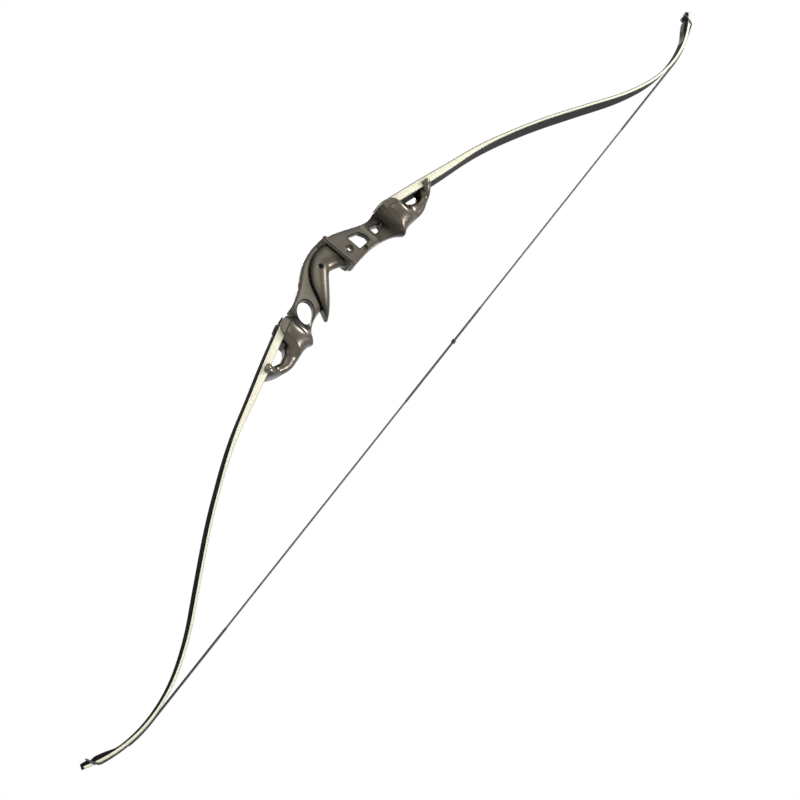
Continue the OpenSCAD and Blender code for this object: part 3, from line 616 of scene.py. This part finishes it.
def limb_t(s):
    """Thickness: 12 mm at the butt, eased by half a cosine wave to 4.2, then 0.6 more up to the tip."""
    ease = (1 - np.cos(np.pi * np.clip((s - ease_from) / (ease_to - ease_from), 0, 1))) / 2
    return 12 - 7.8 * ease + 0.6 * np.maximum(0, s - ease_to) / (limb_len - ease_to)


def limb_half(s):
    """Half width: full at first, then narrowed by the square of the distance, and round at both ends."""
    w = limb_w - (limb_w - tip_w) * (np.maximum(0, s - full_w_len) / (limb_len - full_w_len)) ** 2
    a = np.maximum(0, butt_round - s)
    b = np.maximum(0, tip_round - (limb_len - s))
    return w / 2 - (butt_round - np.sqrt(butt_round**2 - a**2)) - (tip_round - np.sqrt(tip_round**2 - b**2))


def overlay_h(s):
    """Height of the tip block: it rises by a sine wave to 4.6 mm near the nock and falls away at the end.
    Its first third is feathered to a quarter of that, and a bell-shaped waist dips by two fifths."""
    u = np.clip((s - limb_len + block_len) / block_len, 0, 1)
    feather = np.clip((u - 0.05) / 0.36, 0, 1)
    waist = 1 - 0.4 * np.exp(-((s - limb_len + 14.5) / 4.2) ** 2)
    rise = 4.6 * np.sin(np.pi * 0.86 * u**1.25) ** 0.8
    return rise * (0.25 + 0.75 * feather**2 * (3 - 2 * feather)) * waist


def lamination(name, s, low, high, low_round, high_round, lower, faces, edges=None):
    """A strip between two heights above the belly, with its corners rounded by quarter arcs:
    its section goes across the low face, up one edge, back over the high face and down the other.
    The last 4 mm are painted black all round, as the tip block is.
    The map runs along the limb and across a face, or along the limb and up an edge."""
    q = np.linspace(0, np.pi / 2, 4)[None]
    half = limb_half(s)[:, None]
    low, high, low_round, high_round = (
        np.broadcast_to(v, s.shape)[:, None] for v in (low, high, low_round, high_round)
    )
    across = np.linspace(-1, 1, 9)[None, 1:-1]
    y_low = half - low_round * (1 - np.sin(q))
    h_low = low + low_round * (1 - np.cos(q))
    y_high = half - high_round * (1 - np.cos(q))
    h_high = high - high_round * (1 - np.sin(q))
    flat = half - low_round
    flat_high = half - high_round
    y_back, h_back = y_high[:, ::-1], h_high[:, ::-1]
    y = np.concatenate([flat * across, y_low, y_high, -flat_high * across, -y_back, -y_low[:, ::-1]], 1)
    h = np.concatenate([low + 0 * across, h_low, h_high, high + 0 * across, h_back, h_low[:, ::-1]], 1)
    piece = surface(name, on_limb(s[:, None], y, h, lower))
    mesh = piece.data
    columns = y.shape[1]
    corner = np.zeros(len(mesh.loops), np.int32)
    mesh.loops.foreach_get("vertex_index", corner)
    start = np.zeros(len(mesh.polygons), np.int32)
    mesh.polygons.foreach_get("loop_start", start)
    size = np.diff(np.append(start, len(corner)))
    # A face lies on an edge when every corner of it belongs to one side's arcs: 7 columns of the low face
    # come first, then 8 of the one edge, 7 of the high face and 8 of the other edge
    column = corner % columns
    right = (column >= 7) & (column <= 14)
    left = column >= 22
    on_edge = np.minimum.reduceat(right, start) | np.minimum.reduceat(left, start)
    on_edge &= size == 4
    edge_corner = np.repeat(on_edge, size)
    along = s[corner // columns] * mm
    up = np.where(edge_corner, h.ravel()[corner], y.ravel()[corner]) * mm
    laid = mesh.uv_layers.new(name="laid")
    laid.data.foreach_set("uv", np.stack([along, up], -1).astype(np.float32).ravel())
    # The cuts merge slots that hold one material, so each material gets one slot
    edges = edges or faces
    slots = list(dict.fromkeys([faces, edges, tip_black]))
    for material in slots:
        mesh.materials.append(material)
    index = np.where(on_edge, slots.index(edges), 0)
    at_end = np.minimum.reduceat(s[corner // columns], start) > limb_len - 4
    index = np.where(at_end, slots.index(tip_black), index)
    mesh.polygons.foreach_set("material_index", index.astype(np.int32))
    return piece


glass_grain = (0.02, 1, 1)
glass_black = finish_of("black_glass_face", (0.008, 0.008, 0.008), 0.5)
glass_black.node_tree.nodes["Principled BSDF"].inputs["IOR"].default_value = 1.03
grained(glass_black, (0.005,) * 3, (0.012, 0.012, 0.013), (0.55, 0.68), 0.00001, 2500, glass_grain, on="UV")
glass_belly = finish_of("charcoal_glass_face", (0.022, 0.022, 0.022), 0.62)
glass_belly.node_tree.nodes["Principled BSDF"].inputs["IOR"].default_value = 1.12
grained(glass_belly, (0.016,) * 3, (0.03, 0.03, 0.031), (0.56, 0.7), 0.00001, 2500, glass_grain, on="UV")
glass_edge = finish_of("ground_glass_edge", (0.42, 0.42, 0.35), 0.5)
grained(glass_edge, (0.34, 0.34, 0.28), (0.5, 0.5, 0.43), (0.45, 0.56), 0.00001, 3000, glass_grain, on="UV")
core_wood = finish_of("lacquered_core", (0.74, 0.73, 0.58), 0.4, coat=0.4)
grained(core_wood, (0.67, 0.65, 0.49), (0.8, 0.8, 0.67), (0.34, 0.5), 0.00002, 1800, (0.03, 1, 1), on="UV")
tip_black = finish_of("black_tip_block", (0.008, 0.008, 0.008), 0.45)
tip_black.node_tree.nodes["Principled BSDF"].inputs["IOR"].default_value = 1.1
grained(tip_black, (0.005,) * 3, (0.013, 0.013, 0.014), (0.4, 0.55), 0.00002, 2200, (0.05, 1, 1), on="UV")

# Rows of points along a limb and along a tip block, set closer where the ends are round
tip_end = limb_len - tip_round * (1 - np.cos(np.linspace(0, np.pi / 2, 8)))
rows = np.unique(np.concatenate([
    butt_round * (1 - np.cos(np.linspace(0, np.pi / 2, 10))), np.arange(13.4, limb_len - 6, 3.0), tip_end,
]))
tip_rows = np.unique(np.concatenate([np.arange(limb_len - block_len, limb_len - 6, 1.0), tip_end]))
nock_s = limb_len - 17
nock_half = float(limb_half(np.array(nock_s)))
groove_r = 2.2


def nock_rod(side, lower):
    """A rod across the limb's edge at the nock, slanted by 42 degrees from the back down to the belly:
    its middle is on the limb's mid thickness, and its axis is X turned about Y by the slant."""
    lean = np.interp(nock_s, stations, leans)
    slant = np.radians(lean + 90 - 42)
    lean = np.radians(lean)
    mid_h = limb_t(np.array(nock_s)) / 2
    mid_x = np.interp(nock_s, fine, belly_x) - mid_h * np.cos(lean)
    mid_s = np.interp(nock_s, fine, belly_z) + mid_h * np.sin(lean)
    a = 2 * np.pi * (np.arange(40)[None] + 0.5) / 40
    t = np.array([-14.0, 14.0])[:, None]
    # A hair wider than the groove, so that no corner of the laminations lies on the rod's face
    r = 2.26
    x = mid_x + t * np.cos(slant) + r * np.cos(a) * np.sin(slant)
    s = mid_s + t * -np.sin(slant) + r * np.cos(a) * np.cos(slant)
    y = side * (nock_half + groove_r * 0.35) + r * np.sin(a)
    return surface("cutter", seated(x, y, s, lower))


# Corners that are glued together are all but sharp, and the ones that a hand touches are round
glued = 0.02
eased = 0.4
for lower in (False, True):
    end = "lower" if lower else "upper"
    t = limb_t(rows)
    inner = t - glass_t
    core = lamination(f"{end}_limb_core_strips", rows, glass_t, inner, glued, glued, lower, core_wood)
    back = lamination(f"{end}_back_lamination", rows, inner, t, glued, eased, lower, glass_black)
    belly = lamination(
        f"{end}_belly_lamination", rows, 0, glass_t, eased, glued, lower, glass_belly, glass_edge,
    )
    foot = limb_t(tip_rows)
    over = np.maximum(0.05, overlay_h(tip_rows))
    crown = np.minimum(1.3, 0.45 * over)
    block = lamination(f"{end}_tip_block", tip_rows, foot, foot + over, glued, crown, lower, tip_black)
    for piece in (core, back, belly, block):
        carve(piece, nock_rod(-1, lower), nock_rod(1, lower))
    # The cup washer's recess, the bolt sleeve's bore and the hole of the locating pin
    for piece in (core, back):
        carve(piece, seat_rod(11.1, -13, -9.4, bolt_s, lower))
    for piece in (core, belly):
        carve(piece, seat_rod(6, -13, 1, bolt_s, lower), seat_rod(3.05, -6.5, 1, pin_s, lower))
    for piece, node, slot in (
        (core, "limb_core", "limb_core"), (back, "back_glass", "limb_glass"),
        (belly, "belly_glass", "limb_glass"), (block, "tip_overlay", "tip_overlay"),
    ):
        piece.data.shade_smooth()
        piece.data.set_sharp_from_angle(angle=np.radians(35))
        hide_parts(f"{end}_{node}")
        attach(piece, "bow")

# Fittings: bushings, inserts and nock point of aged brass, steel pins, black bolts and washers, rubber pads.
# They are turned parts, pressed or screwed into the riser and the limbs, and keep their CAD shapes.
brass = finish_of("aged_brass", (0.055, 0.044, 0.026), 0.4, metallic=1)
grained(brass, (0.04, 0.032, 0.018), (0.075, 0.06, 0.036), (0.34, 0.48), 0.00002, 1500)
bright_steel = finish_of("turned_steel", (0.55, 0.55, 0.56), 0.28, metallic=1)
grained(bright_steel, (0.45, 0.45, 0.46), (0.62, 0.62, 0.64), (0.22, 0.38), 0.00002, 1500)
black_oxide = finish_of("black_oxide", (0.03, 0.03, 0.032), 0.38, metallic=0.7)
grained(black_oxide, (0.018, 0.018, 0.02), (0.05, 0.05, 0.054), (0.32, 0.5), 0.00002, 1300)
pad_rubber = finish_of("pad_rubber", (0.03, 0.03, 0.03), 0.8)
grained(pad_rubber, (0.02, 0.02, 0.02), (0.045, 0.045, 0.045), (0.7, 0.9), 0.00005, 1200)


def dress(node, material, bevel=None):
    """Gives a CAD node its material, and breaks its sharp edges where a bevel is given."""
    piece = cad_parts[node]
    for slot in piece.material_slots:
        slot.material = material
    if not piece.material_slots:
        piece.data.materials.append(material)
    if bevel:
        weld = piece.modifiers.new("weld", "WELD")
        weld.merge_threshold = 0.00001
        edge = piece.modifiers.new("broken_edge", "BEVEL")
        edge.width = bevel * mm
        edge.segments = 2
        edge.limit_method = "ANGLE"
        edge.angle_limit = np.radians(40)


for node in ("plunger_bushing", "sight_bushing", "nock_point"):
    dress(node, brass, 0.25)
dress("stabiliser_bushing", bright_steel, 0.25)
dress("grip_screw", tip_black, 0.2)
dress("grip_nut", black_oxide, 0.2)
for end in ("upper", "lower"):
    dress(f"{end}_limb_sleeve", brass)
    dress(f"{end}_riser_insert", brass)
    dress(f"{end}_locating_pin", bright_steel, 0.2)
    dress(f"{end}_limb_pad", pad_rubber)
    dress(f"{end}_cup_washer", black_oxide, 0.3)
    dress(f"{end}_limb_bolt", black_oxide, 0.3)

# Loops and servings, thread wound tight round the strands where they bear on limbs, arrow and fingers.
# Each loop goes over its limb's tip, down the two grooves and together on the belly.
serving_thread = finish_of("wound_thread", (0.02, 0.02, 0.022), 0.55, sheen=0.2)
grained(serving_thread, (0.012, 0.012, 0.014), (0.04, 0.04, 0.044), (0.45, 0.65), 0.00003, 2600)


def wound_wall(radius):
    """Thread wound in a helix: the wall bulges by 0.09 mm each 0.6 mm, and climbs as far a turn."""
    return lambda l, a: radius - 0.09 + 0.09 * np.abs(np.sin(np.pi * l / 0.6 - a / 2))


thread_t = 0.35
serving_r = string_r + thread_t


def serving_wall(l, a):
    """A wound wall whose two ends rise from the strands by two in one."""
    return np.minimum(wound_wall(serving_r)(l, a), string_r + 0.1 + 2 * np.minimum(l, l.max() - l))


for name, node in (
    ("centre_wound_serving", "centre_serving"), ("upper_wound_serving", "upper_end_serving"),
    ("lower_wound_serving", "lower_end_serving"),
):
    low, high = (np.array(c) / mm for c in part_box(node))
    z = np.arange(low[2], high[2], 0.12)
    path = np.stack([string_x + 0 * z, 0 * z, z], -1)
    piece = surface(name, swept(path, serving_wall, 16, along_x))
    piece.data.materials.append(serving_thread)
    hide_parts(node)
    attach(piece, "bow")

# A served run and a loop lie a hair off the limb, and their middles stand so far off it
hair = 0.15
lie = hair + string_r + thread_t
loop_r = 1.2
loop_lie = hair + loop_r
# Half a loop, as points along the limb, across it and above the belly: over the block behind the nock,
# down the groove, and together with the other half on the belly
over_s = nock_s + 7.4
over_h = float(limb_t(np.array(over_s)) + overlay_h(np.array(over_s)))
loop_half = [
    [over_s, 0, over_h + loop_lie + 0.3],
    [over_s, nock_half * 0.7, over_h + loop_lie + 0.2],
    [over_s - 0.8, nock_half + 0.2, over_h + 0.9],
    [over_s - 3, nock_half + 0.25, over_h - 2],
    [nock_s + 1.4, nock_half + 0.25, 3.6],
    [nock_s - 2.2, nock_half + 0.5, 0.4],
    [nock_s - 6, nock_half + 0.8, -loop_r - 0.5],
    [nock_s - 13, nock_half * 0.8, -loop_lie - 0.4],
    [nock_s - 26, nock_half * 0.42, -loop_lie - 0.2],
    [nock_s - 38, loop_r + 0.5, -loop_lie - 0.1],
    [nock_s - 43, loop_r + 0.1, -loop_lie - 0.1],
]
other_half = [[s, -y, h] for s, y, h in loop_half[:0:-1]]
around = np.array(loop_half + [[nock_s - 45, 0, -loop_lie - 0.1]] + other_half)
loop_steps = 40
# The string leaves the limb where the belly is parallel to it, as far back as the seat leans forward
contact_s = float(np.interp(16, -np.array(leans[5:]), stations[5:]))
for lower in (False, True):
    end = "lower" if lower else "upper"
    wrapped = between(np.concatenate([around[-2:], around, around[:3]]), loop_steps)
    closed = wrapped[2 * loop_steps : (2 + len(around)) * loop_steps]
    path = on_limb(*closed.T, lower)
    # Angles round the thread are counted from the square to the loop's leaning plane, where it never runs
    lean = np.radians(np.interp(nock_s - 10, stations, leans) + 25)
    up = seated(np.cos(lean), 0, -np.sin(lean), lower) - seated(0, 0, 0, lower)
    joined = np.concatenate([path[-1:], path, path[:1]])
    loop = surface(f"{end}_served_loop", swept(joined, wound_wall(loop_r), 14, up)[1:-1], ring=True)
    lying_path = on_limb(np.linspace(contact_s, nock_s - 46, 900), 0, -lie, lower)
    lying = surface(f"{end}_served_run", swept(lying_path, wound_wall(serving_r), 16, np.array([0, 1.0, 0])))
    for piece in (loop, lying):
        piece.data.materials.append(serving_thread)
        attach(piece, "bow")
        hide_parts(f"{end}_string_loop")

# Floor and light: a pale floor, a white surround for the camera and for reflections,
# and four broad soft lamps: a key high in front, one on the right, a weak one in front and one behind.
floor_mesh = bpy.data.meshes.new("floor")
floor_mesh.from_pydata([(-6, -6, -1.3), (6, -6, -1.3), (6, 6, -1.3), (-6, 6, -1.3)], [], [(0, 1, 2, 3)])
floor_piece = bpy.data.objects.new("floor", floor_mesh)
bpy.context.scene.collection.objects.link(floor_piece)
floor_paint = finish_of("floor_paper", (0.86, 0.86, 0.85), 0.9)
grained(floor_paint, (0.85, 0.85, 0.84), (0.87, 0.87, 0.86), (0.85, 0.95), 0.0001, 60)
floor_piece.data.materials.append(floor_paint)

world = bpy.data.worlds.new("white_surround")
bpy.context.scene.world = world
world.use_nodes = True
nodes, links = world.node_tree.nodes, world.node_tree.links
nodes.clear()
# White where the camera looks past the bow, directly, in a reflection or through glass, and weak elsewhere
ray = nodes.new("ShaderNodeLightPath")
seen = nodes.new("ShaderNodeMath")
seen.operation = "MAXIMUM"
links.new(ray.outputs["Is Camera Ray"], seen.inputs[0])
links.new(ray.outputs["Is Glossy Ray"], seen.inputs[1])
seen_through = nodes.new("ShaderNodeMath")
seen_through.operation = "MAXIMUM"
links.new(seen.outputs[0], seen_through.inputs[0])
links.new(ray.outputs["Is Transmission Ray"], seen_through.inputs[1])
white = nodes.new("ShaderNodeBackground")
white.inputs["Color"].default_value = (1, 1, 1, 1)
white.inputs["Strength"].default_value = 1
soft = nodes.new("ShaderNodeBackground")
soft.inputs["Color"].default_value = (1, 0.98, 0.94, 1)
soft.inputs["Strength"].default_value = 0.09
blend = nodes.new("ShaderNodeMixShader")
out = nodes.new("ShaderNodeOutputWorld")
links.new(seen_through.outputs[0], blend.inputs["Fac"])
links.new(soft.outputs[0], blend.inputs[1])
links.new(white.outputs[0], blend.inputs[2])
links.new(blend.outputs[0], out.inputs["Surface"])


def lamp(name, place, size, power, colour):
    """A square soft lamp at a place, turned to the middle of the bow."""
    light = bpy.data.lights.new(name, "AREA")
    light.size = size
    light.energy = power
    light.color = colour
    holder = bpy.data.objects.new(name, light)
    holder.location = place
    holder.rotation_euler = (-Vector(place)).to_track_quat("-Z", "Y").to_euler()
    bpy.context.scene.collection.objects.link(holder)


lamp("key_lamp", (1.2, -1.6, 3.1), 1.0, 130, (1, 0.98, 0.94))
lamp("side_lamp", (3.3, -1.4, 0.6), 1.0, 90, (1, 0.98, 0.95))
lamp("front_lamp", (-0.6, -3.4, 0.6), 1.6, 20, (1, 0.99, 0.97))
lamp("back_lamp", (-0.6, 3.0, 1.8), 1.6, 90, (1, 0.99, 0.97))
